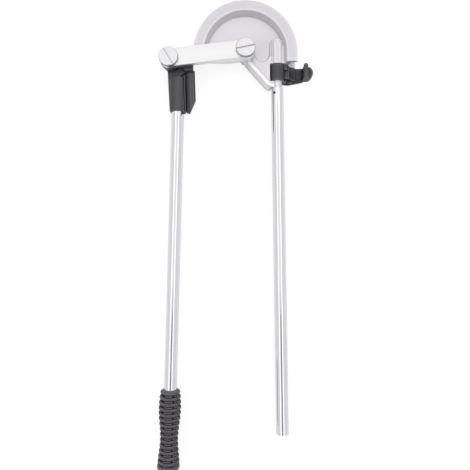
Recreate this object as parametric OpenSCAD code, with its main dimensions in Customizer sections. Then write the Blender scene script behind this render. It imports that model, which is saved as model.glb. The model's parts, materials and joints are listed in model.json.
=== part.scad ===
// Two-handed lever tube bender, lying on its back.
// The former's pivot is the Z axis, the handle runs along -Y, and z = 0 is the former's rear face.

/* [Bent tube] */
// Outside diameter of the tube that is bent
tube_d = 22; // [18:0.5:24]
// Bend radius, to the centre line of the tube
bend_r = 77; // [74:0.5:90]

/* [Former] */
// Thickness of the rim, from its rear face to its front face
rim_t = 34; // [33:0.5:40]
// Wall between the bottom of the groove and the recess
rim_wall = 4.5; // [3:0.5:6]
// Chamfer on the edges of the rim
rim_edge = 0.8; // [0.4:0.1:1.5]
// Depth of the front recess
recess_depth = 12; // [9:0.5:13]
// How far the recess narrows from its edge to its floor
recess_draft = 3.7; // [1:0.1:5]
// Thickness of the web behind the recess
web_t = 7; // [5:0.5:8]
// Length of the straight groove below the pivot, on the handle's side
straight_l = 14.5; // [12:0.5:18]
// Length of the groove below the pivot, on the other side
heel_l = 3.5; // [2:0.5:6]
// Radius of the hub at its front face
hub_r = 13; // [12.5:0.1:15]
// Radius of the hub at its rear face
hub_rear_r = 9.6; // [9.2:0.1:10]
// How far the hub widens from its faces to the web
hub_draft = 1; // [0.5:0.1:2]
// Thickness of the plate between the hub and the neck
plate_t = 17; // [15:0.5:20]
// Angle of the brace below the horizontal
brace_angle = 49; // [46:0.5:52]
// Distance of the brace's outer edge from the pivot
brace_offset = 6.3; // [5:0.1:10]
// Rounding of the edges along the brace
brace_round = 5.5; // [3:0.5:7]
// Width of the land between the recess and the neck
pocket_land = 2; // [1:0.5:4]

/* [Handle] */
// Distance of the handle's axis from the pivot
handle_x = 47.8; // [46:0.1:50]
// Outside diameter of both tubes
handle_d = 19; // [17:0.5:20]
// Wall of both tubes
handle_wall = 2; // [1:0.1:2.5]
// Length of the handle's tube
handle_l = 521.5; // [420:0.5:600]
// Radius of the boss that joins the handle to the web
boss_r = 11.3; // [10.5:0.1:13]
// How far the boss reaches above the pivot
boss_top = 21.5; // [15:0.5:24]
// Rounding of the boss's upper corners
boss_round = 10.5; // [3:0.5:10.5]
// Radius of the neck on which the hook turns
neck_r = 7.5; // [6.5:0.1:8]
// Height of the collar below the neck
collar_h = 9.5; // [7:0.5:12]
// Distance of the collar's side from the handle's axis
collar_side = 4.8; // [3:0.1:6]
// Length of the spigot inside the handle's tube
spigot_l = 38; // [25:1:60]
// Diameter of the spring pins
pin_d = 4; // [3:0.5:5]
// Wall of the spring pins
pin_wall = 0.8; // [0.5:0.1:1]
// Depth of the pin's ends below the tube's surface
pin_sink = 0.5; // [0.5:0.1:1.5]
// Distance of the handle's pin from the end of the tube
handle_pin_in = 8; // [6:0.5:12]
// Angle of the handle's pin away from the front
handle_pin_turn = 31; // [0:1:60]

/* [Hook] */
// Height of the hook along the neck
hook_h = 24; // [20:0.5:28]
// Wall of the hook's band
band_wall = 2.7; // [2:0.1:3]
// Angle at which the band ends behind the neck
band_end = 70; // [66:1:74]
// Thickness of the web that joins the neck to the plate
neck_web_t = 4; // [3:0.5:4.5]
// Gap between that web and the end of the band
neck_web_gap = 1.5; // [1:0.1:2]
// Thickness of the hook's arm
hook_t = 4.8; // [4:0.1:5]
// Height of the hook's arm along the tube
hook_arm_h = 19.5; // [16:0.5:22]
// Thickness of the lip beside the tube
lip_t = 7; // [5:0.5:9]
// Height of the lip above the arm
lip_h = 16; // [10:0.5:20]
// Height of the thumb lobe above the arm
lobe_h = 8; // [5:0.5:9.5]
// Reach of the thumb lobe beyond the lip
lobe_reach = 8; // [4:0.5:10]

/* [Link] */
// Width of the link arm
arm_w = 26.2; // [24:0.1:28]
// Radius of the link arm's round ends
arm_end_r = 13.5; // [13.2:0.1:14.5]
// Thickness of the link arm
arm_t = 8; // [6:0.5:10]
// Angle of the link arm below the horizontal
link_angle = 6; // [5:0.1:8]
// How far the arm's root reaches down into the recess
root_drop = 9.5; // [8:0.5:10.5]
// Length of the root from the pivot at its full depth
root_l = 28; // [24:1:32]
// Distance of the root's end from the edge of the recess
root_gap = 5.5; // [5:0.5:10]

/* [Pivots] */
// Diameter of the pivot screws' shanks
screw_d = 12; // [10:0.5:13]
// Diameter of the pivot screws' threads
thread_d = 8; // [6:0.5:9]
// Diameter of the screw heads
head_d = 28; // [24:0.5:30]
// Height of the screw heads
head_h = 5.5; // [4:0.5:7]
// Rounding of the screw heads
head_round = 1.6; // [0.8:0.1:2]
// Width of the screwdriver slots
slot_w = 2.2; // [1.6:0.1:3]
// Depth of the screwdriver slots
slot_depth = 2; // [1:0.1:3]
// Direction of the slot in the former's screw
pivot_slot_turn = 11; // [0:1:180]
// Direction of the slot in the lever's screw
lever_slot_turn = 121; // [0:1:180]
// Wall of the bearing bushes
bush_wall = 1.5; // [1:0.1:2]
// Diameter of the thrust washers
washer_d = 24; // [22:0.5:25]
// Diameter of the rear washers
rear_washer_d = 17; // [16:0.5:18]
// Thickness of the washers
washer_t = 1.5; // [1:0.1:2]
// Depth of the hub's seat for the rear washer
seat_depth = 1; // [0.5:0.1:1.3]
// Diameter of the lock washers
lock_d = 14.5; // [13:0.5:16]
// Thickness of the lock washers
lock_t = 2; // [1.5:0.1:2.5]
// Gap where the lock washers are split
lock_gap = 1; // [0.5:0.1:2]
// Width of the nuts across their flats
nut_w = 13; // [12:0.5:14]
// Height of the nuts
nut_h = 6; // [5:0.5:7]

/* [Lever] */
// Tilt of the lever away from the handle
lever_tilt = 2.4; // [1:0.1:4]
// Distance of the lever's tube from its pivot
lever_x = 11.6; // [10:0.1:13]
// Distance from the pivot to the grip's end
lever_l = 609; // [500:1:680]
// Radius of the block's pivot boss
block_boss_r = 14; // [13.5:0.1:15]
// Radius of the block's pivot boss at its foot
block_foot_r = 9.8; // [9.6:0.1:12]
// Height of the block's boss above the front face of the rim
block_raise = 3; // [2:0.5:5]
// Angle at which the socket's shoulder leaves the boss
shoulder_turn = 222; // [210:1:230]
// Distance from the pivot to the shoulder's outer corner
shoulder_l = 13.3; // [12:0.1:17]
// How far the shoulder's corner stands out from the socket
shoulder_flare = 4.4; // [2:0.1:5]
// Depth of the shoulder's faces below the socket's round
shoulder_sink = 3; // [1:0.1:4]
// Wall of the socket around the tube
socket_wall = 1.8; // [1.5:0.1:2.5]
// Distance from the pivot to the top of the tube
socket_top = 22; // [21.5:0.5:26]
// Distance from the pivot to the mouth of the socket
socket_mouth = 71.3; // [66:0.1:84]
// Distance of the lever's pin from the mouth
lever_pin_in = 12; // [8:0.5:18]

/* [Slide channel] */
// Distance from the lever's pivot to the face of the channel
slide_reach = 34; // [32.5:0.1:37]
// Angle of the channel to the lever's tube
slide_angle = 3.5; // [3:0.1:5]
// Distance from the pivot's line to the top of the channel
slide_top = 5.5; // [4:0.1:9]
// Distance from the pivot's line to the bottom of the channel
slide_bottom = 76.4; // [70:0.1:88]
// Thickness of the channel's lips at the tube
slide_wall = 2.6; // [2.4:0.1:4]
// Wall of the channel's round shell
slide_shell = 2.2; // [1.8:0.1:2.3]
// Width of the channel's flat front lip
slide_lip_w = 6.8; // [5:0.1:9]
// Length of the bar across the top of the channel
crossbar_l = 13; // [11.5:0.5:16]
// Height of the bar across the top of the channel
crossbar_h = 9.6; // [5:0.1:12]
// How far the crossbar stands above the channel's front lip
crossbar_rise = 4; // [1:0.5:5]
// Height of the gap below the crossbar
pocket_h = 2.7; // [2:0.1:6]
// How much further the gap reaches beside the socket
pocket_step = 2.8; // [1:0.1:3]
// Depth of the gap's floor below the web
pocket_depth = 1; // [0.5:0.5:2]
// Height of the chamfer at the bottom of the channel
chamfer_h = 13.5; // [6:0.5:15]
// Width of the chamfer at the bottom of the channel
chamfer_w = 6.5; // [4:0.5:8]
// How much shorter the channel is behind the tube than in front of it
slide_rear_cut = 5; // [3:0.5:10]
// Thickness of the web between the socket and the channel
slide_web_t = 10; // [8:0.5:12]
// Height of the thin rib above that web
slide_rib_h = 4; // [1:0.5:5]
// Width of the thin rib
slide_rib_w = 1.2; // [1:0.1:2]
// Distance from the pivot's line to the thin rib
slide_rib_x = 18.6; // [18:0.1:20]

/* [Grip] */
// Length of the grip
grip_l = 119; // [100:1:140]
// Number of rings on the grip
grip_rings = 14; // [10:1:18]
// Share of each pitch that a ring takes up
ring_share = 0.72; // [0.6:0.01:0.85]
// Depth of the grooves between the rings
ring_depth = 2.4; // [1.5:0.1:3]
// Radius of the first ring
grip_top_r = 14.4; // [13.5:0.1:15]
// Largest radius of the upper half
grip_belly_r = 16.9; // [15.5:0.1:17]
// Least radius of the grip
grip_waist_r = 13.7; // [13:0.1:15]
// Share of the length above the largest radius
belly_share = 0.25; // [0.15:0.01:0.35]
// Share of the length above the least radius
waist_share = 0.62; // [0.5:0.01:0.75]
// Radius of the end flange
grip_end_r = 16.9; // [15:0.1:17]
// Height of the end flange
flange_h = 6; // [4:0.5:9]
// Chamfer on the edges of the end flange
flange_edge = 1.5; // [0.5:0.1:2]
// Thickness of the grip's closed end
grip_end_wall = 5; // [3:0.5:8]

/* [Clearances] */
// Radial clearance of the turning fits
running = 0.05; // [0.02:0.01:0.09]
// Radial clearance of pieces that are fixed to each other
seat = 0.03; // [0.02:0.01:0.08]
// Play of the pivots along their axes
play = 0.15; // [0.1:0.05:0.3]
// Gap between the hook and what it passes
hook_gap = 1; // [0.6:0.1:1.5]
// Gap between the hook and the tube
tube_gap = 0.3; // [0.1:0.1:0.6]
// Gap between the rim and the face of the channel
slide_gap = 0.9; // [0.3:0.1:2]

/* [Hidden] */
$fn = 96;
eps = 0.01;
over = 1;
mid_z = rim_t / 2;
groove_r = tube_d / 2;
recess_r = bend_r - groove_r - rim_wall;
floor_r = recess_r - recess_draft;
web_top = rim_t - recess_depth;
web_bottom = web_top - web_t;

screw_r = screw_d / 2;
thread_r = thread_d / 2;
head_r = head_d / 2;
bush_r = screw_r + running;
bush_outer_r = bush_r + bush_wall;
lock_z = nut_h;
rear_washer_z = lock_z + lock_t;
shank_z = rear_washer_z + washer_t;
hub_rear_z = shank_z + play;
block_front_z = rim_t + block_raise;
thrust_z = block_front_z + play;
arm_z = thrust_z + washer_t;
head_z = arm_z + arm_t;
root_z = arm_z - root_drop;
root_thrust_z = root_z - washer_t;
hub_front_z = root_thrust_z - play;
root_end = recess_r - root_gap;

bore_r = handle_d / 2 - handle_wall;
spigot_r = bore_r - seat;
pin_r = pin_d / 2;
pin_l = handle_d - 2 * pin_sink;

neck_top = -straight_l;
hook_top = neck_top - hook_gap;
neck_bottom = hook_top - hook_h - hook_gap;
collar_bottom = neck_bottom - collar_h;
handle_end = collar_bottom - handle_l;
band_inner_r = neck_r + running;
band_r = band_inner_r + band_wall;
plate_right = handle_x - band_r - hook_gap;
plate_top = mid_z + plate_t / 2;

brace_along = [cos(brace_angle), -sin(brace_angle)];
brace_inward = [sin(brace_angle), cos(brace_angle)];
brace_start = -brace_offset * brace_inward;
brace_l = (brace_start[1] - collar_bottom) / sin(brace_angle);
brace_corner = brace_start + brace_l * brace_along;
collar_right = handle_x - collar_side;
bend_tangent = collar_right - brace_corner[0];
brace_bend_r = bend_tangent / tan(brace_angle / 2);
hub_base_r = hub_r + hub_draft;
pocket_right = handle_x - boss_r;
pocket_r = (pocket_right - hub_base_r) / 2;
pocket_y = neck_top + pocket_land + pocket_r;

hook_floor = mid_z - groove_r - tube_gap;
lip_x = bend_r + groove_r + tube_gap;

slide_turn = slide_angle - lever_tilt;
arm_l = (bend_r + slide_gap + slide_reach) / cos(link_angle - slide_turn);
lever_pivot = [-arm_l * cos(link_angle), -arm_l * sin(link_angle)];
tube_r = handle_d / 2;
socket_r = tube_r + seat + socket_wall;
shoulder_z = mid_z - socket_r + shoulder_sink;
channel_t = 2 * (groove_r + slide_wall);
channel_low_z = mid_z - channel_t / 2;
channel_high_z = mid_z + channel_t / 2;
channel_back = slide_reach - groove_r;
slide_web_z = mid_z + slide_web_t / 2;
lip_top = slide_top + crossbar_h + pocket_h;
counterbore_r = rear_washer_d / 2 + play;

grip_top = lever_l - grip_l;
grip_r = tube_r + seat;
ring_pitch = (grip_l - flange_h) / grip_rings;
ring_r = ring_pitch * ring_share / 2;

// Cylinder along -Y from a point
module rod(start, length, r) {
    translate(start)
        rotate([90, 0, 0])
            cylinder(h = length, r = r);
}

// Box from one corner to the other
module block(low, high) {
    translate(low)
        cube(high - low);
}

module ring(z, h, outer_r, inner_r) {
    translate([0, 0, z])
        difference() {
            cylinder(h = h, r = outer_r);
            translate([0, 0, -over])
                cylinder(h = h + 2 * over, r = inner_r);
        }
}

module at_lever_pivot() {
    translate([lever_pivot[0], lever_pivot[1], 0])
        children();
}

// Lever frame: its origin is the lever's pivot and the lever runs along -Y
module in_lever() {
    at_lever_pivot()
        rotate([0, 0, -lever_tilt])
            children();
}

// Channel frame: the face of the channel is the plane x = slide_reach
module in_channel() {
    rotate([0, 0, slide_angle])
        children();
}

// Half section of the former, from its axis to the grooved rim
module rim_section() {
    difference() {
        polygon([
            [0, web_bottom],
            [floor_r, web_bottom],
            [recess_r, rim_edge],
            [recess_r + rim_edge, 0],
            [bend_r - rim_edge, 0],
            [bend_r, rim_edge],
            [bend_r, rim_t - rim_edge],
            [bend_r - rim_edge, rim_t],
            [recess_r + rim_edge, rim_t],
            [recess_r, rim_t - rim_edge],
            [floor_r, web_top],
            [0, web_top]
        ]);
        translate([bend_r, mid_z])
            circle(groove_r);
    }
}

module straight_rim(length) {
    rotate([90, 0, 0])
        linear_extrude(length)
            rim_section();
}

// Plate from the hub along the brace to the collar, with a round end to the recess above it
module plate_outline() {
    difference() {
        polygon([
            [0, 0],
            brace_start,
            brace_corner,
            [collar_right, collar_bottom],
            [collar_right, neck_bottom],
            [plate_right, neck_bottom],
            [plate_right, neck_top],
            [handle_x, neck_top],
            [pocket_right, pocket_y],
            [hub_base_r, pocket_y]
        ]);
        translate([hub_base_r + pocket_r, pocket_y])
            circle(pocket_r);
        difference() {
            polygon([
                brace_corner - bend_tangent * brace_along,
                brace_corner,
                [collar_right, collar_bottom]
            ]);
            translate([collar_right, collar_bottom + brace_bend_r])
                circle(brace_bend_r);
        }
    }
}

module plate() {
    translate([0, 0, mid_z - plate_t / 2])
        linear_extrude(plate_t)
            plate_outline();
}

// What a rounded edge takes away, with the edge at [0, 0]
module rounding_section() {
    difference() {
        translate([-over, -brace_round])
            square(brace_round + over);
        translate([brace_round, -brace_round])
            circle(brace_round);
    }
}

module edge_rounding(start, turn, length) {
    translate([start[0], start[1], plate_top])
        rotate([0, 0, turn])
            rotate([90, 0, 90])
                linear_extrude(length)
                    rounding_section();
}

// Rounded front edges along the brace and below the collar, mitred at the bend
module brace_rounding() {
    past = 2 * brace_round;
    edge_rounding(brace_start - hub_r * brace_along, -brace_angle, hub_r + brace_l + past);
    edge_rounding(brace_corner - [past, 0], 0, past + bend_tangent + over);
}

module rounded_plate() {
    difference() {
        plate();
        brace_rounding();
        translate([0, 0, rim_t])
            mirror([0, 0, 1])
                brace_rounding();
    }
}

// Boss seen from the front, with round corners at its upper end
module boss_outline() {
    straight_w = boss_r - boss_round;
    translate([handle_x - boss_r, neck_top])
        square([2 * boss_r, boss_top - boss_round - neck_top]);
    translate([handle_x - straight_w, neck_top])
        square([2 * straight_w, boss_top - neck_top]);
    for (side = [-1, 1])
        translate([handle_x + side * straight_w, boss_top - boss_round])
            circle(boss_round);
}

module handle_boss() {
    intersection() {
        rod([handle_x, boss_top, mid_z], boss_top - neck_top, boss_r);
        linear_extrude(rim_t)
            boss_outline();
    }
}

module neck() {
    rod([handle_x, neck_top + over, mid_z], neck_top + over - collar_bottom, neck_r);
    block(
        [plate_right - over, neck_bottom, mid_z - neck_web_gap - neck_web_t],
        [handle_x, neck_top, mid_z - neck_web_gap]
    );
}

module handle_pin_axis(r, length) {
    translate([handle_x, collar_bottom - handle_pin_in, mid_z])
        rotate([0, -handle_pin_turn, 0])
            cylinder(h = length, r = r, center = true);
}

// Wide boss in front of the web for the link arm, and a slim one behind it
module hub() {
    split_z = web_top - over;
    seat_z = hub_rear_z - seat_depth;
    translate([0, 0, split_z])
        cylinder(h = hub_front_z - split_z, r1 = hub_base_r, r2 = hub_r);
    translate([0, 0, seat_z])
        cylinder(h = split_z + eps - seat_z, r1 = hub_rear_r, r2 = hub_rear_r + hub_draft);
}

module former() {
    color("gainsboro")
        difference() {
            union() {
                rotate_extrude(angle = 180)
                    rim_section();
                straight_rim(straight_l);
                mirror([1, 0, 0])
                    straight_rim(heel_l);
                hub();
                rounded_plate();
                handle_boss();
                neck();
                rod([handle_x, collar_bottom + over, mid_z], spigot_l + over, spigot_r);
            }
            translate([0, 0, -over])
                cylinder(h = hub_front_z + 2 * over, r = bush_outer_r + seat);
            translate([0, 0, -over])
                cylinder(h = hub_rear_z + over, r = counterbore_r);
            handle_pin_axis(pin_r + seat, 2 * handle_d);
        }
}

module hub_bush() {
    color("darkgoldenrod")
        ring(hub_rear_z, hub_front_z - hub_rear_z, bush_outer_r, bush_r);
}

module handle_tube() {
    color("silver")
        difference() {
            rod([handle_x, collar_bottom, mid_z], handle_l, tube_r);
            rod([handle_x, collar_bottom + over, mid_z], handle_l + 2 * over, bore_r);
            handle_pin_axis(pin_r + seat, 2 * handle_d);
        }
}

module handle_pin() {
    color("dimgray")
        difference() {
            handle_pin_axis(pin_r, pin_l);
            handle_pin_axis(pin_r - pin_wall, pin_l + 2 * over);
        }
}

module tube_hook() {
    color("#2c2c30")
        difference() {
            union() {
                rod([handle_x, hook_top, mid_z], hook_h, band_r);
                hook_arm();
            }
            rod([handle_x, hook_top + over, mid_z], hook_h + 2 * over, band_inner_r);
            band_opening();
        }
}

// Space that the band leaves open for the neck's web and for the swing
module band_opening() {
    far = 2 * band_r;
    translate([handle_x, hook_top + over, mid_z])
        rotate([90, 0, 0])
            linear_extrude(hook_h + 2 * over)
                polygon([
                    [0, 0],
                    [-far, 0],
                    [-far, -far],
                    [far * cos(band_end), -far * sin(band_end)]
                ]);
}

module hook_arm() {
    arm_bottom = hook_top - hook_arm_h;
    lobe_r = hook_arm_h / 2;
    arm_left = handle_x + band_inner_r * cos(band_end);
    block([arm_left, arm_bottom, hook_floor - hook_t], [lip_x + lip_t, hook_top, hook_floor]);
    block(
        [handle_x + band_inner_r, arm_bottom, hook_floor - eps],
        [handle_x + band_r + hook_t, hook_top, mid_z]
    );
    rod([lip_x + lip_t / 2, hook_top, hook_floor + lip_h - lip_t / 2], hook_arm_h, lip_t / 2);
    translate([lip_x + lip_t / 2, hook_top, hook_floor + lip_h - lip_t / 2])
        sphere(lip_t / 2);
    block(
        [lip_x, arm_bottom, hook_floor - hook_t],
        [lip_x + lip_t, hook_top, hook_floor + lip_h - lip_t / 2]
    );
    intersection() {
        translate([lip_x + lip_t + lobe_reach - lobe_r, hook_top - lobe_r, hook_floor - hook_t])
            cylinder(h = hook_t + lobe_h, r = lobe_r);
        block(
            [lip_x + lip_t / 2, arm_bottom - over, 0],
            [lip_x + lip_t + lobe_reach + over, hook_top + over, rim_t]
        );
    }
}

// What the arm's round end leaves over beyond the pivot, in the direction of +X
module arm_end_cut() {
    difference() {
        block([0, -arm_w, root_z - over], [arm_w + over, arm_w, head_z + over]);
        translate([0, 0, root_z - 2 * over])
            cylinder(h = head_z - root_z + 4 * over, r = arm_end_r);
    }
}

// Side of the arm, with its length along x and its height along y: a bar that thickens to its root
module arm_side() {
    polygon([
        [arm_w, head_z],
        [-arm_l - arm_w, head_z],
        [-arm_l - arm_w, arm_z],
        [-root_end, arm_z],
        [-root_l, root_z],
        [arm_w, root_z]
    ]);
}

module link_arm() {
    color("whitesmoke")
        rotate([0, 0, link_angle])
            difference() {
                translate([0, arm_w / 2, 0])
                    rotate([90, 0, 0])
                        linear_extrude(arm_w)
                            arm_side();
                arm_end_cut();
                translate([-arm_l, 0, 0])
                    mirror([1, 0, 0])
                        arm_end_cut();
                for (x = [-arm_l, 0])
                    translate([x, 0, root_z - over])
                        cylinder(h = head_z - root_z + 2 * over, r = screw_r + seat);
            }
}

// Half section of a screw's head
module head_section() {
    square([head_r - head_round, head_h]);
    square([head_r, head_h - head_round]);
    translate([head_r - head_round, head_h - head_round])
        circle(head_round);
}

module screw(slot_turn) {
    color("lightgray")
        difference() {
            union() {
                cylinder(h = shank_z + eps, r = thread_r);
                translate([0, 0, shank_z])
                    cylinder(h = head_z + eps - shank_z, r = screw_r);
                translate([0, 0, head_z])
                    rotate_extrude()
                        head_section();
            }
            rotate([0, 0, slot_turn])
                block(
                    [-head_r - over, -slot_w / 2, head_z + head_h - slot_depth],
                    [head_r + over, slot_w / 2, head_z + head_h + over]
                );
        }
}

module thrust_washer(z) {
    color("goldenrod")
        ring(z, washer_t, washer_d / 2, screw_r + seat);
}

module rear_washer() {
    color("silver")
        ring(rear_washer_z, washer_t, rear_washer_d / 2, thread_r + seat);
}

// Split ring, cut at one side
module lock_washer() {
    color("gray")
        difference() {
            ring(lock_z, lock_t, lock_d / 2, thread_r + seat);
            block([0, -lock_gap / 2, lock_z - over], [lock_d, lock_gap / 2, lock_z + lock_t + over]);
        }
}

module nut() {
    color("silver")
        difference() {
            cylinder(h = nut_h, r = nut_w / 2 / cos(30), $fn = 6);
            translate([0, 0, -over])
                cylinder(h = nut_h + 2 * over, r = thread_r + seat);
        }
}

module pivot_screw() {
    screw(pivot_slot_turn);
}

module pivot_thrust_washer() {
    thrust_washer(root_thrust_z);
}

module pivot_rear_washer() {
    rear_washer();
}

module pivot_lock_washer() {
    lock_washer();
}

module pivot_nut() {
    nut();
}

module lever_screw() {
    at_lever_pivot()
        screw(lever_slot_turn);
}

module lever_thrust_washer() {
    at_lever_pivot()
        thrust_washer(thrust_z);
}

module lever_rear_washer() {
    at_lever_pivot()
        rear_washer();
}

module lever_lock_washer() {
    at_lever_pivot()
        lock_washer();
}

module lever_nut() {
    at_lever_pivot()
        nut();
}

// Wall between the pivot boss and the socket, narrowing towards the mouth
module block_shoulder() {
    left = lever_x - socket_r;
    translate([0, 0, shoulder_z])
        linear_extrude(2 * (mid_z - shoulder_z))
            polygon([
                bush_outer_r * [cos(shoulder_turn), sin(shoulder_turn)],
                [left - shoulder_flare, -shoulder_l],
                [left, -socket_mouth + eps],
                [lever_x + socket_r, -socket_mouth + eps],
                [lever_x + socket_r, -slide_top],
                [bush_outer_r, 0],
                [0, 0]
            ]);
}

// What the channel's slanted end takes away, with the front edge of the end along the x axis
module slanted_end() {
    slope = slide_rear_cut / channel_t;
    translate([-channel_t, 0, 0])
        rotate([90, 0, 90])
            linear_extrude(2 * channel_t)
                polygon([
                    [-slope * over, channel_high_z + over],
                    [-channel_t, channel_high_z + over],
                    [-channel_t, channel_low_z - over],
                    [slide_rear_cut + slope * over, channel_low_z - over]
                ]);
}

// Half disc on the closed side of the channel
module shell_section() {
    shell_r = groove_r + slide_shell;
    intersection() {
        circle(shell_r);
        translate([-shell_r - over, -shell_r - over])
            square([shell_r + over, 2 * shell_r + 2 * over]);
    }
}

// Channel that slides along the tube: a round shell with flat lips, and a crossbar at its top
module slide_channel() {
    low_y = -slide_bottom - over;
    in_channel()
        difference() {
            union() {
                translate([slide_reach, -lip_top, mid_z])
                    rotate([90, 0, 0])
                        linear_extrude(-lip_top - low_y)
                            shell_section();
                block([channel_back, low_y, channel_low_z], [slide_reach, -slide_top, slide_web_z]);
                block([slide_reach - slide_lip_w, low_y, mid_z], [slide_reach, -lip_top, channel_high_z]);
                block(
                    [slide_reach - crossbar_l, -slide_top - crossbar_h, channel_low_z],
                    [slide_reach, -slide_top, channel_high_z + crossbar_rise]
                );
            }
            rod([slide_reach, 0, mid_z], over - low_y, groove_r);
            translate([slide_reach, -slide_bottom, 0])
                slanted_end();
            translate([slide_reach - chamfer_w, -slide_bottom, 0])
                rotate([0, 0, atan2(chamfer_h, chamfer_w)])
                    slanted_end();
        }
}

// Web between the socket and the channel, with a thin rib along it
module slide_web() {
    in_channel() {
        block(
            [lever_x, -socket_mouth, mid_z - slide_web_t / 2],
            [channel_back + eps, -slide_top, slide_web_z]
        );
        block(
            [slide_rib_x, -socket_mouth, mid_z],
            [slide_rib_x + slide_rib_w, -lip_top - pocket_step, slide_web_z + slide_rib_h]
        );
    }
}

// Gap between the socket's upper end and the crossbar, narrowing to a point over the tube
module socket_pocket() {
    low_y = -lip_top - pocket_step;
    high_y = -slide_top - crossbar_h + over;
    in_channel()
        translate([0, 0, slide_web_z - pocket_depth])
            linear_extrude(channel_t)
                polygon([
                    [lever_x, low_y],
                    [channel_back + over, low_y],
                    [channel_back + over, high_y],
                    [slide_reach - crossbar_l + over, high_y]
                ]);
}

// Pivot boss, shoulder, socket and web, with the gap beside the crossbar
module block_body() {
    difference() {
        union() {
            translate([0, 0, shoulder_z])
                cylinder(h = block_front_z - shoulder_z, r1 = block_foot_r, r2 = block_boss_r);
            block_shoulder();
            rod([lever_x, -socket_top + socket_wall, mid_z],
                socket_mouth - socket_top + socket_wall, socket_r);
            slide_web();
        }
        socket_pocket();
    }
}

module lever_pin_axis(r, length) {
    translate([lever_x, -socket_mouth + lever_pin_in, mid_z - socket_r])
        cylinder(h = length, r = r);
}

module slide_block() {
    color("#3a3a3e")
        in_lever()
            difference() {
                union() {
                    block_body();
                    slide_channel();
                }
                rod([lever_x, -socket_top, mid_z], socket_mouth, tube_r + seat);
                translate([0, 0, -over])
                    cylinder(h = block_front_z + 2 * over, r = bush_outer_r + seat);
                translate([0, 0, -over])
                    cylinder(h = hub_rear_z + over, r = counterbore_r);
                lever_pin_axis(pin_r + seat, socket_r);
            }
}

module block_bush() {
    color("darkgoldenrod")
        at_lever_pivot()
            ring(hub_rear_z, block_front_z - hub_rear_z, bush_outer_r, bush_r);
}

module lever_tube() {
    tube_l = lever_l - grip_end_wall - socket_top - seat;
    color("silver")
        in_lever()
            difference() {
                rod([lever_x, -socket_top - seat, mid_z], tube_l, tube_r);
                rod([lever_x, -socket_top + over, mid_z], tube_l + 2 * over, bore_r);
                lever_pin_axis(pin_r + seat, socket_r);
            }
}

module lever_pin() {
    length = socket_r - bore_r + handle_wall;
    color("dimgray")
        in_lever()
            difference() {
                lever_pin_axis(pin_r, length);
                lever_pin_axis(pin_r - pin_wall, length + over);
            }
}

// Smooth change from 1 to 0
function swell(t) = (1 + cos(180 * t)) / 2;

// Radius of the grip's rings: it swells, narrows to a waist and swells again
function grip_radius(s) =
    s < belly_share
        ? grip_belly_r - (grip_belly_r - grip_top_r) * pow(1 - s / belly_share, 2)
    : s < waist_share
        ? grip_waist_r
            + (grip_belly_r - grip_waist_r) * swell((s - belly_share) / (waist_share - belly_share))
        : grip_end_r - (grip_end_r - grip_waist_r) * swell((s - waist_share) / (1 - waist_share));

// Middle of a ring along the grip, and its outside radius
function ring_y(i) = -grip_top - (i + 0.5) * ring_pitch;
function ring_outer(i) = grip_radius((i + 0.5) / grip_rings);

// Half section of the grip's core with the end flange
module grip_core() {
    flange_top = -lever_l + flange_h;
    polygon(concat(
        [[0, -grip_top], [grip_top_r - ring_depth, -grip_top]],
        [for (i = [0 : grip_rings - 1]) [ring_outer(i) - ring_depth, ring_y(i)]],
        [
            [grip_end_r - ring_depth, flange_top],
            [grip_end_r - flange_edge, flange_top],
            [grip_end_r, flange_top - flange_edge],
            [grip_end_r, -lever_l + flange_edge],
            [grip_end_r - flange_edge, -lever_l],
            [0, -lever_l]
        ]
    ));
}

module grip() {
    color("#4a4850")
        in_lever()
            difference() {
                translate([lever_x, 0, mid_z])
                    rotate([-90, 0, 0])
                        union() {
                            rotate_extrude()
                                grip_core();
                            for (i = [0 : grip_rings - 1])
                                rotate_extrude()
                                    translate([ring_outer(i) - ring_r, ring_y(i)])
                                        circle(ring_r);
                        }
                rod([lever_x, -grip_top + over, mid_z], grip_l - grip_end_wall + over, grip_r);
            }
}

former();
hub_bush();
handle_tube();
handle_pin();
tube_hook();
link_arm();
pivot_screw();
pivot_thrust_washer();
pivot_rear_washer();
pivot_lock_washer();
pivot_nut();
lever_screw();
lever_thrust_washer();
lever_rear_washer();
lever_lock_washer();
lever_nut();
slide_block();
block_bush();
lever_tube();
lever_pin();
grip();
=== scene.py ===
# %% [markdown]
# # A two-handed tube bender
# The tool lies on its back on a white table and is seen from straight above. A grooved cast disc is
# the former, a link arm carries the lever, and a black hook holds the tube in the groove. Every solid
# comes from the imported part. This lesson gives the solids their finish, and rounds or replaces those
# whose real piece has more shape than the solid shows.

import json
import math

import bmesh
import bpy
import numpy as np
from mathutils import Matrix, Vector


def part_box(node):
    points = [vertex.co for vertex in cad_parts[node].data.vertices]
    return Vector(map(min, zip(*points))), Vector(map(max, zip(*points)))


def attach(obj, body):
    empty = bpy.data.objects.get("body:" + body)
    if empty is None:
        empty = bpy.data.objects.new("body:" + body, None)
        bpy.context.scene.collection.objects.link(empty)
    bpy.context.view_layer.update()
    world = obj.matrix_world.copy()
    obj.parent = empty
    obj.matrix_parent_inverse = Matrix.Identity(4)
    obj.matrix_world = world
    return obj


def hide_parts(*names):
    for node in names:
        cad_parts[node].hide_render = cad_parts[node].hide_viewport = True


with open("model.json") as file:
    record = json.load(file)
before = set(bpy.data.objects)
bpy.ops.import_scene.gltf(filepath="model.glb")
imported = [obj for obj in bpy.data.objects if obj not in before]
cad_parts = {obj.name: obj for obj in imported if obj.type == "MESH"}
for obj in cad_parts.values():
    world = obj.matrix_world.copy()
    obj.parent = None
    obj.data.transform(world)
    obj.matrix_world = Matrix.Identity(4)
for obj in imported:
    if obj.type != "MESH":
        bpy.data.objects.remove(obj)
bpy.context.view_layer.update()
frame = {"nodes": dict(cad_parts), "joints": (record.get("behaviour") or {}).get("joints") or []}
scene = bpy.context.scene

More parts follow.
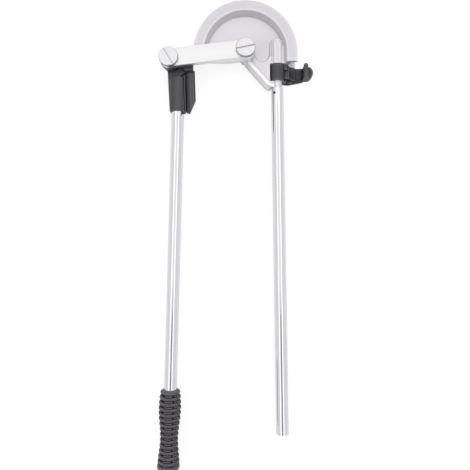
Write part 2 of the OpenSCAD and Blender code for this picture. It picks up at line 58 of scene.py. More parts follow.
# %% [markdown]
# ## Camera
# The photographer hung the camera over the middle of the tool. A camera with no rotation looks along
# -Z with +Y up, so it only needs its place, a small turn about Z, because the tool lies slightly
# askew, and a lens. The lens follows from the focal length in pixels of the square picture.

# %% Camera above the tool
PICTURE_PX = 470
FOCAL_PX = 437.3
SENSOR_MM = 36
CAMERA_PLACE = (-0.0194, -0.2702, 0.679)
CAMERA_TURN = math.radians(-0.867)

camera_data = bpy.data.cameras.new("overhead_camera")
camera_data.sensor_width = SENSOR_MM
camera_data.sensor_fit = "HORIZONTAL"
camera_data.lens = FOCAL_PX / PICTURE_PX * SENSOR_MM
camera = bpy.data.objects.new("overhead_camera", camera_data)
camera.location = CAMERA_PLACE
camera.rotation_euler = (0, 0, CAMERA_TURN)
scene.collection.objects.link(camera)
scene.camera = camera
print("lens:", round(camera_data.lens, 2), "mm")

# %% [markdown]
# ## A short way to write shader nodes
# A material is a small network. Writing every node and link by hand takes three lines each, so one
# helper makes a node, sets its fields, and fills its sockets. A socket given as a value becomes a link.

# %% Helpers for node trees
def add(tree, kind, sockets=None, **fields):
    """One node in a tree. Sockets are named or numbered, and a socket as a value makes a link."""
    node = tree.nodes.new(kind)
    for name, value in fields.items():
        setattr(node, name, value)
    for name, value in (sockets or {}).items():
        if isinstance(value, bpy.types.NodeSocket):
            tree.links.new(value, node.inputs[name])
        else:
            node.inputs[name].default_value = value
    return node


def math_node(tree, operation, *values):
    """The result of one calculation."""
    return add(tree, "ShaderNodeMath", dict(enumerate(values)), operation=operation).outputs[0]


def mix_colours(tree, factor, first, second):
    """A colour between two others. A mix node's colours go in at sockets 6 and 7 and come out at 2."""
    return add(tree, "ShaderNodeMix", {0: factor, 6: first, 7: second}, data_type="RGBA").outputs[2]


def new_group(name, inputs, outputs):
    """An empty node group. Inputs are given as name: (kind, default), outputs as name: kind."""
    group = bpy.data.node_groups.new(name, "ShaderNodeTree")
    for socket, (kind, default) in inputs.items():
        made = group.interface.new_socket(socket, in_out="INPUT", socket_type=kind)
        made.default_value = default
    for socket, kind in outputs.items():
        group.interface.new_socket(socket, in_out="OUTPUT", socket_type=kind)
    return group, group.nodes.new("NodeGroupInput").outputs, group.nodes.new("NodeGroupOutput").inputs


def new_material(name):
    """An empty material, and its tree."""
    material = bpy.data.materials.new(name)
    material.use_nodes = True
    material.node_tree.nodes.clear()
    return material, material.node_tree


def finish_material(tree, shader):
    """Join a shader to the material's output."""
    add(tree, "ShaderNodeOutputMaterial", {"Surface": shader.outputs["BSDF"]})


print("node helpers ready")

# %% [markdown]
# ## Table and room
# The background is pure white. For the camera, the table's colour gives a part of that white and a glow
# gives the rest, so a pale shadow stays on it. For light that bounces, the table is a white sheet that
# fills the walls from below. Chrome shows what stands around it, and in the photo its sides stay pale
# grey down to the table, so reflections see a greyer table and less of the glow. The room is white for
# the camera, pale grey in reflections, and dimmer as a light, which leaves the shading to the lamps. The
# near side of the room, where the photographer stands, is darker.

# %% White table
TABLE_SIZE = 8.0
TABLE_SEEN = (0.20, 0.20, 0.20, 1)
TABLE_BOUNCE = (0.80, 0.80, 0.80, 1)
TABLE_IN_REFLECTIONS = (0.55, 0.55, 0.55, 1)
TABLE_GLOW = 0.86
GLOW_IN_REFLECTIONS = 0.40
TABLE_ROUGHNESS = 0.9
table_material, tree = new_material("white_table")
path = add(tree, "ShaderNodeLightPath").outputs
mirrored = math_node(tree, "MAXIMUM", path["Is Glossy Ray"], path["Is Transmission Ray"])
mirrored = math_node(tree, "MULTIPLY", mirrored, GLOW_IN_REFLECTIONS)
seen = math_node(tree, "MAXIMUM", path["Is Camera Ray"], mirrored)
table_colour = mix_colours(tree, path["Is Camera Ray"], TABLE_IN_REFLECTIONS, TABLE_SEEN)
finish_material(tree, add(tree, "ShaderNodeBsdfPrincipled", {
    "Base Color": mix_colours(tree, path["Is Diffuse Ray"], table_colour, TABLE_BOUNCE),
    "Roughness": TABLE_ROUGHNESS,
    "Specular IOR Level": 0.0,
    "Emission Color": (1, 1, 1, 1),
    "Emission Strength": math_node(tree, "MULTIPLY", seen, TABLE_GLOW),
}))


def flat_sheet(name, low, high, z, material):
    """A level rectangle that belongs to the studio, not to the tool."""
    mesh = bpy.data.meshes.new(name)
    corners = [(low[0], low[1], z), (high[0], low[1], z), (high[0], high[1], z), (low[0], high[1], z)]
    mesh.from_pydata(corners, [], [(0, 1, 2, 3)])
    mesh.materials.append(material)
    sheet = bpy.data.objects.new(name, mesh)
    scene.collection.objects.link(sheet)
    return sheet


half = TABLE_SIZE / 2
flat_sheet("table", (-half, -half), (half, half), 0.0, table_material)
print("table:", TABLE_SIZE, "m across")

# %% Grey room
ROOM_COLOUR = (0.985, 0.98, 1.0, 1)
ROOM_IN_REFLECTIONS = 0.80
ROOM_LIGHT = 0.34
NEAR_SIDE = 0.30
NEAR_FROM, NEAR_TO = -0.9, -0.45
world = bpy.data.worlds.new("grey_room")
world.use_nodes = True
scene.world = world
tree = world.node_tree
path = add(tree, "ShaderNodeLightPath").outputs
mirrored = math_node(tree, "MAXIMUM", path["Is Glossy Ray"], path["Is Transmission Ray"])
level = math_node(tree, "MULTIPLY_ADD", mirrored, ROOM_IN_REFLECTIONS - ROOM_LIGHT, ROOM_LIGHT)
direction = add(tree, "ShaderNodeTexCoord").outputs["Generated"]
towards = add(tree, "ShaderNodeSeparateXYZ", {0: direction}).outputs
near_side = add(tree, "ShaderNodeMapRange", {
    "Value": towards["Y"], "From Min": NEAR_FROM, "From Max": NEAR_TO, "To Min": NEAR_SIDE, "To Max": 1.0,
}, interpolation_type="SMOOTHSTEP").outputs[0]
background = tree.nodes["Background"]
background.inputs["Color"].default_value = ROOM_COLOUR
strength = math_node(tree, "MULTIPLY", level, near_side)
strength = math_node(tree, "MAXIMUM", strength, path["Is Camera Ray"])
tree.links.new(strength, background.inputs["Strength"])
scene.view_settings.view_transform = "Standard"
print("room level in reflections:", ROOM_IN_REFLECTIONS, "and as a light:", ROOM_LIGHT)

# %% [markdown]
# ## Lamps
# One broad softbox hangs overhead and one stands on each side, so that walls which face left or right
# stay light and those which face the near side are shaded. They don't show in the chrome, which has
# lamps of its own. A dim panel beyond the former whitens flat metal. Two long strips above the tubes make
# the pair of bright lines on the chrome. A dim panel between them joins the lines near the former, and a
# dark card makes the thin line that the tubes show near their lower ends.


# %% Softboxes
def area_lamp(name, place, target, size, power):
    """A rectangular lamp at a place, turned towards a target."""
    data = bpy.data.lights.new(name, "AREA")
    data.shape = "RECTANGLE"
    data.size, data.size_y = size
    data.energy = power
    lamp = bpy.data.objects.new(name, data)
    lamp.location = place
    lamp.rotation_euler = (Vector(target) - Vector(place)).to_track_quat("-Z", "Y").to_euler()
    scene.collection.objects.link(lamp)
    return lamp


# Each softbox: its place in metres and its power in watts.
SOFTBOXES = {
    "overhead": ((0.25, 0.4, 1.9), 13.0),
    "left": ((-1.20, -0.5, 1.30), 8.0),
    "right": ((1.25, 0.1, 1.35), 6.5),
}
SOFTBOX_SIZE = (1.6, 1.2)
TOOL_MIDDLE = (0.0, -0.25, 0.0)
for side, (place, power) in SOFTBOXES.items():
    softbox = area_lamp(f"softbox_{side}", place, TOOL_MIDDLE, SOFTBOX_SIZE, power)
    softbox.visible_glossy = False
print("softboxes:", len(SOFTBOXES))

# %% Panels and strips that show in the chrome
# Each panel: its place and its size in metres, and its power in watts.
PANELS = {
    "ceiling_panel": ((0.0, 1.2, 1.7), (2.6, 1.5), 3.0),
    "strip_left": ((-0.85, -0.6, 1.5), (0.6, 2.2), 2.5),
    "strip_right": ((0.72, -0.6, 1.5), (0.34, 2.2), 2.1),
    "middle_panel": ((0.0, 0.0, 1.5), (1.0, 1.1), 0.6),
}
for name, (place, size, power) in PANELS.items():
    area_lamp(name, place, (place[0], place[1], 0.0), size, power)
print("panels:", list(PANELS))

# %% Dark card
CARD_COLOUR = (0.22, 0.22, 0.22, 1)
CARD_LOW, CARD_HIGH, CARD_Z = (-0.15, -1.4), (0.17, -0.62), 1.3
card_material, tree = new_material("dark_card")
card_shader = add(tree, "ShaderNodeBsdfPrincipled", {"Base Color": CARD_COLOUR, "Roughness": 1.0})
finish_material(tree, card_shader)
flat_sheet("dark_card", CARD_LOW, CARD_HIGH, CARD_Z, card_material)
print("dark card hangs at:", CARD_Z, "m")

# %% [markdown]
# ## Shared surface effects
# Several finishes repeat the same marks at other strengths: the fine grain of a casting or moulding,
# the streaks that drawing or grinding leaves along a bar, the rings of a lathe, and edges made paler, as
# rubbed wear and painted highlight, with painted shade in the corners.
# Each is a node group that is built once. They all read Object coordinates, which are the place on the
# part in metres.

# %% Group: grain of a casting or moulding
PATCHES_PER_METRE = 45.0
ROUGHNESS_SPREAD = 0.2
grain, given, result = new_group(
    "moulded grain",
    {"Colour": ("NodeSocketColor", (0.5, 0.5, 0.5, 1)), "Size": ("NodeSocketFloat", 900.0),
     "Patches": ("NodeSocketFloat", 0.05), "Roughness": ("NodeSocketFloat", 0.5)},
    {"Colour": "NodeSocketColor", "Roughness": "NodeSocketFloat", "Height": "NodeSocketFloat"})
place = add(grain, "ShaderNodeTexCoord").outputs["Object"]
noise = add(grain, "ShaderNodeTexNoise", {"Vector": place, "Scale": given["Size"], "Detail": 4.0})
fine = noise.outputs["Fac"]
noise = add(grain, "ShaderNodeTexNoise", {"Vector": place, "Scale": PATCHES_PER_METRE, "Detail": 3.0})
broad = math_node(grain, "SUBTRACT", noise.outputs["Fac"], 0.5)
centred = math_node(grain, "SUBTRACT", fine, 0.5)
shift = math_node(grain, "MULTIPLY_ADD", broad, given["Patches"], 1.0)
speck = math_node(grain, "MULTIPLY_ADD", centred, given["Patches"], shift)
scaled = add(grain, "ShaderNodeVectorMath", {0: given["Colour"], 3: speck}, operation="SCALE").outputs[0]
grain.links.new(scaled, result["Colour"])
rough = math_node(grain, "MULTIPLY_ADD", centred, ROUGHNESS_SPREAD, given["Roughness"])
grain.links.new(rough, result["Roughness"])
grain.links.new(fine, result["Height"])
print("group:", grain.name)

# %% Group: streaks along one direction
streaks, given, result = new_group(
    "drawn streaks",
    {"Stretch": ("NodeSocketVector", (2500.0, 12.0, 2500.0)), "Turn": ("NodeSocketFloat", 0.0),
     "Roughness": ("NodeSocketFloat", 0.15), "Depth": ("NodeSocketFloat", 0.06)},
    {"Roughness": "NodeSocketFloat", "Mask": "NodeSocketFloat"})
place = add(streaks, "ShaderNodeTexCoord").outputs["Object"]
turned = add(streaks, "ShaderNodeVectorRotate", {
    "Vector": place, "Angle": given["Turn"],
}, rotation_type="Z_AXIS").outputs[0]
stretched = add(streaks, "ShaderNodeVectorMath", {
    0: turned, 1: given["Stretch"],
}, operation="MULTIPLY").outputs[0]
lines = add(streaks, "ShaderNodeTexNoise", {"Vector": stretched, "Scale": 1.0, "Detail": 3.0}).outputs["Fac"]
centred = math_node(streaks, "SUBTRACT", lines, 0.5)
rough = math_node(streaks, "MULTIPLY_ADD", centred, given["Depth"], given["Roughness"])
streaks.links.new(rough, result["Roughness"])
streaks.links.new(lines, result["Mask"])
print("group:", streaks.name)

# %% Group: rings of a lathe about an upright axis
rings, given, result = new_group(
    "lathe rings",
    {"Axis": ("NodeSocketVector", (0.0, 0.0, 0.0)), "Rings per metre": ("NodeSocketFloat", 1400.0)},
    {"Height": "NodeSocketFloat", "Distance": "NodeSocketFloat", "Level": "NodeSocketFloat"})
place = add(rings, "ShaderNodeTexCoord").outputs["Object"]
offset = add(rings, "ShaderNodeVectorMath", {0: place, 1: given["Axis"]}, operation="SUBTRACT").outputs[0]
parts = add(rings, "ShaderNodeSeparateXYZ", {0: offset}).outputs
flat = add(rings, "ShaderNodeCombineXYZ", {"X": parts["X"], "Y": parts["Y"]}).outputs[0]
distance = add(rings, "ShaderNodeVectorMath", {0: flat}, operation="LENGTH").outputs["Value"]
grooves = add(rings, "ShaderNodeTexNoise", {
    "W": math_node(rings, "MULTIPLY", distance, given["Rings per metre"]), "Scale": 1.0, "Detail": 2.0,
}, noise_dimensions="1D").outputs["Fac"]
rings.links.new(grooves, result["Height"])
rings.links.new(distance, result["Distance"])
rings.links.new(parts["Z"], result["Level"])
print("group:", rings.name)

# %% Group: edges paler as rubbed wear and painted highlight, corners darker as painted shade
RUBS_PER_METRE = 220.0
RUB_SPREAD, RUB_LEAST = 0.8, 0.6
edge_wear_and_shade, given, result = new_group(
    "edge wear and painted light",
    {"Colour": ("NodeSocketColor", (0.5, 0.5, 0.5, 1)),
     "Edge colour": ("NodeSocketColor", (0.9, 0.9, 0.9, 1)),
     "Corner colour": ("NodeSocketColor", (0.1, 0.1, 0.1, 1)),
     "Edge gain": ("NodeSocketFloat", 2.0), "Corner gain": ("NodeSocketFloat", 2.0)},
    {"Colour": "NodeSocketColor"})
edge = add(edge_wear_and_shade, "ShaderNodeAttribute", attribute_name="edge").outputs["Fac"]
place = add(edge_wear_and_shade, "ShaderNodeTexCoord").outputs["Object"]
patchy = add(edge_wear_and_shade, "ShaderNodeTexNoise", {"Vector": place, "Scale": RUBS_PER_METRE, "Detail": 3.0})
uneven = math_node(edge_wear_and_shade, "MULTIPLY_ADD", patchy.outputs["Fac"], RUB_SPREAD, RUB_LEAST)
# Paler edges stand for rubbed wear and a painted highlight; darker corners are painted shade.
rubbed_and_highlit = math_node(edge_wear_and_shade, "MULTIPLY", math_node(edge_wear_and_shade, "MULTIPLY", edge, given["Edge gain"]), uneven)
rubbed_and_highlit = add(edge_wear_and_shade, "ShaderNodeClamp", {0: rubbed_and_highlit}).outputs[0]
corner_shade_mask = math_node(edge_wear_and_shade, "MULTIPLY", math_node(edge_wear_and_shade, "MULTIPLY", edge, given["Corner gain"]), -1.0)
corner_shade_mask = add(edge_wear_and_shade, "ShaderNodeClamp", {0: corner_shade_mask}).outputs[0]
with_corner_shade = mix_colours(edge_wear_and_shade, corner_shade_mask, given["Colour"], given["Corner colour"])
edge_wear_and_shade.links.new(mix_colours(edge_wear_and_shade, rubbed_and_highlit, with_corner_shade, given["Edge colour"]), result["Colour"])
print("group:", edge_wear_and_shade.name)


# %% Helper: place a group in a material
def use_group(tree, group, **values):
    """A shared effect in one material, with its own values."""
    sockets = {name.replace("_", " "): value for name, value in values.items()}
    return add(tree, "ShaderNodeGroup", sockets, node_tree=group).outputs


def bump(tree, height, depth):
    """A normal from a height, with the depth of the marks in metres."""
    return add(tree, "ShaderNodeBump", {"Height": height, "Strength": 1.0, "Distance": depth}).outputs[0]


print("group helper ready")

# %% [markdown]
# ## Cast aluminium
# The former is a light casting, blasted to a dull, slightly violet grey, with its rim turned on a lathe.
# A plain metal shader would mirror the room, so the metal is rough and only partly metallic. The lathe's
# rings are let in only on the front of the rim, chosen by distance from the pivot and by height. The
# strip along the brace and the slope below it are lightened as a painted highlight, and the foot below
# the slope is darkened as painted shade. Their place is kept on the casting's points further down.

# %% Material: cast aluminium
RIM_INNER = 0.0605
RIM_FRONT = 0.0330
CAST_GREY = (0.70, 0.685, 0.71, 1)
RING_DARK, RING_LIGHT = (0.59, 0.575, 0.60, 1), (0.71, 0.695, 0.72, 1)
PAINTED_HIGHLIGHT_COLOUR = (0.92, 0.915, 0.925, 1)
# Paler edges are rubbed wear and a painted highlight; the corner colour is painted shade.
RUBBED_HIGHLIT_EDGE, CORNER_PAINTED_SHADE = (0.87, 0.865, 0.88, 1), (0.42, 0.41, 0.43, 1)
CAST_RELIEF = 0.00006
cast_aluminium, tree = new_material("cast_aluminium")
skin = use_group(tree, grain, Colour=CAST_GREY, Size=1300.0, Patches=0.06, Roughness=0.48)
lathe = use_group(tree, rings, Rings_per_metre=1100.0)
on_band = math_node(tree, "GREATER_THAN", lathe["Distance"], RIM_INNER)
on_front = math_node(tree, "GREATER_THAN", lathe["Level"], RIM_FRONT)
turned_band = math_node(tree, "MULTIPLY", on_band, on_front)
ring_tone = mix_colours(tree, lathe["Height"], RING_DARK, RING_LIGHT)
colour = mix_colours(tree, turned_band, skin["Colour"], ring_tone)
relief = add(tree, "ShaderNodeMix", {0: turned_band, 2: skin["Height"], 3: lathe["Height"]}).outputs[0]
# The ground attribute marks the brace strip and slope, which get a painted highlight colour.
painted_highlight_strip = add(tree, "ShaderNodeAttribute", attribute_name="ground").outputs["Fac"]
colour = mix_colours(tree, painted_highlight_strip, colour, PAINTED_HIGHLIGHT_COLOUR)
edges = use_group(tree, edge_wear_and_shade, Colour=colour, Edge_colour=RUBBED_HIGHLIT_EDGE, Corner_colour=CORNER_PAINTED_SHADE,
                  Edge_gain=1.1, Corner_gain=1.2)
finish_material(tree, add(tree, "ShaderNodeBsdfPrincipled", {
    "Base Color": edges["Colour"],
    "Metallic": 0.35,
    "Roughness": skin["Roughness"],
    "Normal": bump(tree, relief, CAST_RELIEF),
}))
print("material:", cast_aluminium.name)

# %% [markdown]
# ## Chrome, plate and turned steel
# The two tubes are drawn and plated, so they mirror the room with faint streaks along their length.
# The link arm is a ground bar with a satin plate. The screws come off a lathe, with rings about
# their own axis, so each screw has a copy of the finish with its own centre. Their heads are faced bright,
# the slot stays dull, and the side of the head is darkened as painted shade.

# %% Material: chromed tube
CHROME_DARK, CHROME_LIGHT = (0.80, 0.795, 0.82, 1), (0.86, 0.855, 0.875, 1)
chromed_tube, tree = new_material("chromed_tube")
drawn = use_group(tree, streaks, Stretch=(3000.0, 9.0, 3000.0), Roughness=0.10, Depth=0.10)
colour = mix_colours(tree, drawn["Mask"], CHROME_DARK, CHROME_LIGHT)
finish_material(tree, add(tree, "ShaderNodeBsdfPrincipled", {
    "Base Color": colour,
    "Metallic": 1.0,
    "Roughness": drawn["Roughness"],
}))
print("material:", chromed_tube.name)

# %% Material: plated bar
LINK_TURN = math.radians(-6)
PLATE_DARK, PLATE_LIGHT = (0.84, 0.84, 0.84, 1), (0.92, 0.92, 0.915, 1)
PLATE_RELIEF = 0.00001
plated_bar, tree = new_material("plated_bar")
ground = use_group(tree, streaks, Stretch=(25.0, 2600.0, 2600.0), Turn=LINK_TURN,
                   Roughness=0.32, Depth=0.16)
colour = mix_colours(tree, ground["Mask"], PLATE_DARK, PLATE_LIGHT)
finish_material(tree, add(tree, "ShaderNodeBsdfPrincipled", {
    "Base Color": colour,
    "Metallic": 0.9,
    "Roughness": ground["Roughness"],
    "Normal": bump(tree, ground["Mask"], PLATE_RELIEF),
}))
print("material:", plated_bar.name)


# %% Materials: turned steel about each pivot
TOP_EDGE = 0.0007
HEAD_R = 0.0140
FACED_LIGHT, FACED_DARK = (0.88, 0.875, 0.885, 1), (0.72, 0.72, 0.73, 1)
# The side of each head is darker as painted shade; the slot is plain dull steel.
SLOT_DULL, SIDE_PAINTED_SHADE = (0.62, 0.62, 0.63, 1), (0.34, 0.34, 0.35, 1)
LATHE_RELIEF = 0.00003


def turned_steel(name, axis, top):
    """Turned steel with lathe rings about one pivot, faced bright at its top, dull in the slot, and with
    painted shade on the side of the head.
    """
    material, tree = new_material(name)
    lathe = use_group(tree, rings, Axis=axis, Rings_per_metre=2600.0)
    skin = use_group(tree, grain, Colour=FACED_LIGHT, Size=700.0, Patches=0.14, Roughness=0.3)
    tone = mix_colours(tree, lathe["Height"], FACED_DARK, skin["Colour"])
    face = top - axis.z
    faced = add(tree, "ShaderNodeMapRange", {
        "Value": lathe["Level"], "From Min": face - TOP_EDGE, "From Max": face - TOP_EDGE / 2,
    }).outputs[0]
    outside = math_node(tree, "GREATER_THAN", lathe["Distance"], HEAD_R - TOP_EDGE)
    dull_slot_and_shaded_side = mix_colours(tree, outside, SLOT_DULL, SIDE_PAINTED_SHADE)
    tone = mix_colours(tree, faced, dull_slot_and_shaded_side, tone)
    finish_material(tree, add(tree, "ShaderNodeBsdfPrincipled", {
        "Base Color": tone,
        "Metallic": 0.9,
        "Roughness": skin["Roughness"],
        "Normal": bump(tree, lathe["Height"], LATHE_RELIEF),
    }))
    return material


joint_place = {joint["name"]: Vector(joint["pos_m"]) for joint in frame["joints"]}
pivot_steel = turned_steel("pivot_steel", joint_place["link_swing"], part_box("pivot_screw")[1].z)
lever_steel = turned_steel("lever_steel", joint_place["lever_swing"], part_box("lever_screw")[1].z)
print("materials:", pivot_steel.name, lever_steel.name)

# %% [markdown]
# ## Bronze, spring steel, black moulding and rubber
# The bushes and thrust washers are plain bronze, the spring pins and lock washers oiled steel. The hook
# and the slide block are moulded in black plastic filled with glass fibre, which greys the skin a little.
# The grip is rubber, duller and slightly violet.


# %% Materials: bronze and spring steel
def grained(name, colour, size, patches, roughness, depth, metallic):
    """A material whose only mark is the shared grain."""
    material, tree = new_material(name)
    skin = use_group(tree, grain, Colour=colour, Size=size, Patches=patches, Roughness=roughness)
    finish_material(tree, add(tree, "ShaderNodeBsdfPrincipled", {
        "Base Color": skin["Colour"],
        "Metallic": metallic,
        "Roughness": skin["Roughness"],
        "Normal": bump(tree, skin["Height"], depth),
    }))
    return material


bronze = grained("bronze", (0.62, 0.42, 0.18, 1), size=600.0, patches=0.15, roughness=0.35,
                 depth=0.00001, metallic=1.0)
spring_steel = grained("spring_steel", (0.20, 0.20, 0.21, 1), size=500.0, patches=0.2, roughness=0.4,
                       depth=0.00001, metallic=1.0)
print("materials:", bronze.name, spring_steel.name)


# %% Materials: black moulding and rubber
# Corner colour of the black parts is painted shade.
BLACK_CORNER_SHADE = (0.010, 0.010, 0.011, 1)
BLACK_EDGE_GAIN = 1.2


def black_with_edge_wear_and_shade(name, colour, edge, painted_shade, size, patches, roughness, gloss, depth):
    """A dark moulding with edges paler as rubbed wear and painted highlight, and painted shade in its
    corners.
    """
    material, tree = new_material(name)
    skin = use_group(tree, grain, Colour=colour, Size=size, Patches=patches, Roughness=roughness)
    edges = use_group(tree, edge_wear_and_shade, Colour=skin["Colour"], Edge_colour=edge,
                      Corner_colour=BLACK_CORNER_SHADE, Edge_gain=BLACK_EDGE_GAIN, Corner_gain=painted_shade)
    finish_material(tree, add(tree, "ShaderNodeBsdfPrincipled", {
        "Base Color": edges["Colour"],
        "Specular IOR Level": gloss,
        "Roughness": skin["Roughness"],
        "Normal": bump(tree, skin["Height"], depth),
    }))
    return material


black_moulding = black_with_edge_wear_and_shade(
    "black_moulding", colour=(0.076, 0.074, 0.080, 1), edge=(0.15, 0.15, 0.155, 1), painted_shade=2.6,
    size=1500.0, patches=0.25, roughness=0.42, gloss=0.25, depth=0.00004)
# The hook is a darker copy of the same black moulding, as painted shade.
shaded_hook_moulding = black_with_edge_wear_and_shade(
    "shaded_hook_moulding", colour=(0.050, 0.049, 0.054, 1), edge=(0.15, 0.15, 0.155, 1), painted_shade=4.5,
    size=1500.0, patches=0.35, roughness=0.40, gloss=0.3, depth=0.00006)
grip_rubber = black_with_edge_wear_and_shade(
    "grip_rubber", colour=(0.052, 0.048, 0.055, 1), edge=(0.14, 0.134, 0.146, 1), painted_shade=3.2,
    size=1100.0, patches=0.3, roughness=0.62, gloss=0.3, depth=0.00008)
print("materials:", black_moulding.name, shaded_hook_moulding.name, grip_rubber.name)

# %% Give the solids their finish
FINISHES = {
    "former": cast_aluminium,
    "hub_bush": bronze,
    "handle_tube": chromed_tube,
    "handle_pin": spring_steel,
    "tube_hook": shaded_hook_moulding,
    "link_arm": plated_bar,
    "pivot_screw": pivot_steel,
    "pivot_thrust_washer": bronze,
    "pivot_rear_washer": pivot_steel,
    "pivot_lock_washer": spring_steel,
    "pivot_nut": pivot_steel,
    "lever_screw": lever_steel,
    "lever_thrust_washer": bronze,
    "lever_rear_washer": lever_steel,
    "lever_lock_washer": spring_steel,
    "lever_nut": lever_steel,
    "slide_block": black_moulding,
    "block_bush": bronze,
    "lever_tube": chromed_tube,
    "lever_pin": spring_steel,
    "grip": grip_rubber,
}
for node, material in FINISHES.items():
    solid = frame["nodes"][node]
    solid.data.materials.clear()
    solid.data.materials.append(material)
print("finished solids:", len(FINISHES))

# %% [markdown]
# ## Soft edges on the casting and the mouldings
# A casting or a moulding has no sharp edge: metal and plastic shrink, and the mould is rounded. A
# bevel on a solid with this many cuts tears, so each solid is copied, rebuilt on an even grid and
# smoothed, which rounds every edge and fills every corner a little. How far smoothing moves a point
# along its normal tells outside edges from inside corners. That measure is kept on the points, and the
# finishes use it for edges made paler, as rubbed wear and painted highlight, and for corners darkened
# as painted shade. More rounds find wider hollows.


# %% Helpers to soften a solid
def new_piece(name, mesh, material, body, slot, *nodes):
    """An object that rides on a body and stands for solids of the part."""
    piece = bpy.data.objects.new(name, mesh)
    scene.collection.objects.link(piece)
    mesh.materials.clear()
    mesh.materials.append(material)
    for face in mesh.polygons:
        face.use_smooth = True
    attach(piece, body)
    if nodes:
        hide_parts(*nodes)
    return piece


def evaluated_mesh(thing):
    """The mesh of an object after its modifiers."""
    return bpy.data.meshes.new_from_object(thing.evaluated_get(bpy.context.evaluated_depsgraph_get()))


def keep_edges(mesh, rounds, depth):
    """Store on each point how far smoothing pulls it in, from -1 in a corner to 1 on an edge."""
    count = len(mesh.vertices)
    start = np.empty(count * 3)
    mesh.vertices.foreach_get("co", start)
    start = start.reshape(-1, 3)
    normals = np.empty(count * 3)
    mesh.vertices.foreach_get("normal", normals)
    pairs = np.empty(len(mesh.edges) * 2, dtype=np.int64)
    mesh.edges.foreach_get("vertices", pairs)
    first, second = pairs.reshape(-1, 2).T
    degree = np.bincount(np.concatenate((first, second)), minlength=count)[:, None]
    moved = start.copy()
    for _ in range(rounds):
        total = np.empty_like(moved)
        for axis in range(3):
            total[:, axis] = np.bincount(first, moved[second, axis], count)
            total[:, axis] += np.bincount(second, moved[first, axis], count)
        moved = 0.5 * moved + 0.5 * total / np.maximum(degree, 1)
    pulled = ((start - moved) * normals.reshape(-1, 3)).sum(axis=1) / depth
    layer = mesh.attributes.new("edge", "FLOAT", "POINT")
    layer.data.foreach_set("value", np.clip(pulled, -1, 1).astype(np.float32))


SMOOTH_ROUNDS = 3
FACES_KEPT = 0.6
# Rounds and depth of the edge measure, which makes edges paler and puts painted shade in corners.
EDGE_MEASURE_ROUNDS, EDGE_MEASURE_DEPTH = 12, 0.0005


def soften(name, node, grid, details, cuts=(), edge_measure=(EDGE_MEASURE_ROUNDS, EDGE_MEASURE_DEPTH)):
    """A copy of a solid, with details joined to it and cut from it, rebuilt on a grid and smoothed."""
    joined = bmesh.new()
    joined.from_mesh(frame["nodes"][node].data)
    for detail in details:
        joined.from_mesh(detail)
    mesh = bpy.data.meshes.new(name)
    joined.to_mesh(mesh)
    joined.free()
    rough = bpy.data.objects.new(name + "_rough", mesh)
    scene.collection.objects.link(rough)
    for cut in cuts:
        cutter = rough.modifiers.new("cut", "BOOLEAN")
        cutter.object = bpy.data.objects.new(cut.name, cut)
        cutter.solver = "EXACT"
        cutter.use_self = True
    even = rough.modifiers.new("even_grid", "REMESH")
    even.mode = "VOXEL"
    even.voxel_size = grid
    smooth = rough.modifiers.new("smooth", "SMOOTH")
    smooth.factor = 0.5
    smooth.iterations = SMOOTH_ROUNDS
    fewer = rough.modifiers.new("fewer", "DECIMATE")
    fewer.ratio = FACES_KEPT
    soft = evaluated_mesh(rough)
    soft.name = name
    for modifier in rough.modifiers:
        if modifier.type == "BOOLEAN":
            bpy.data.objects.remove(modifier.object)
    bpy.data.objects.remove(rough)
    keep_edges(soft, *edge_measure)
    print(name, "faces:", len(soft.polygons))
    return soft


# %% [markdown]
# ## Blocks for small forms
# The casting and the mouldings have small forms that the solids leave out: ribs, ledges, ears and steps.
# Each is drawn as an outline, raised to a block, and joined to the solid before the edges are softened.


# %% Helper: a block from an outline
def raised_block(name, outline, place, depth):
    """A closed block: outline points go through place(u, v, w), with w at 0 and at the depth."""
    shape = bmesh.new()
    ends = [[shape.verts.new(place(u, v, w)) for u, v in outline] for w in (0.0, depth)]
    shape.faces.new(ends[0])
    shape.faces.new(ends[1])
    for i in range(len(outline)):
        j = (i + 1) % len(outline)
        shape.faces.new((ends[0][i], ends[0][j], ends[1][j], ends[1][i]))
    bmesh.ops.recalc_face_normals(shape, faces=shape.faces)
    mesh = bpy.data.meshes.new(name)
    shape.to_mesh(mesh)
    shape.free()
    return mesh


def upright(low_z):
    """Outlines in X and Y, raised along Z. Sizes in millimetres."""
    return lambda u, v, w: (u / 1000, v / 1000, (low_z + w) / 1000)


def lengthways(top_y):
    """Outlines in X and Z, run along -Y. Sizes in millimetres."""
    return lambda u, v, w: (u / 1000, (top_y - w) / 1000, v / 1000)


print("block helper ready")

# %% [markdown]
# ## Former
# The brace from the hub to the handle has a strip along its outer edge that is lightened as a painted
# highlight. Below that strip its side slopes out to a foot, and the whole follows a bend into the collar.
# The slope is lightened as painted highlight too, and the foot is darkened as painted shade. A slope is made
# here from thin layers, each a little narrower than the one below, because the softening blends such small
# steps. The boss above the hook has steps with half-round upper ends, and a web joins it to the rim.
# Sizes are in millimetres.

# %% Brace of the former
BRACE_ANGLE = math.radians(49)
BRACE_OFFSET, BRACE_START, BRACE_BEND_R = 6.3, 8.0, 17.3
COLLAR_X, COLLAR_Y = 43.0, -50.0
STRIP_WIDTH, STRIP_LOW, STRIP_HIGH, STRIP_EDGE = 5.2, 12.0, 26.2, 2.0
SLOPE_OUT, SLOPE_LOW, SLOPE_FOOT, SLOPE_LAYERS = 2.4, 8.6, 12.0, 6
BEND_STEPS, SLOPE_BEND_STEPS = 8, 5
along = Vector((math.cos(BRACE_ANGLE), -math.sin(BRACE_ANGLE)))
outward = Vector((-math.sin(BRACE_ANGLE), -math.cos(BRACE_ANGLE)))
bend_middle = Vector((COLLAR_X, COLLAR_Y + BRACE_BEND_R))


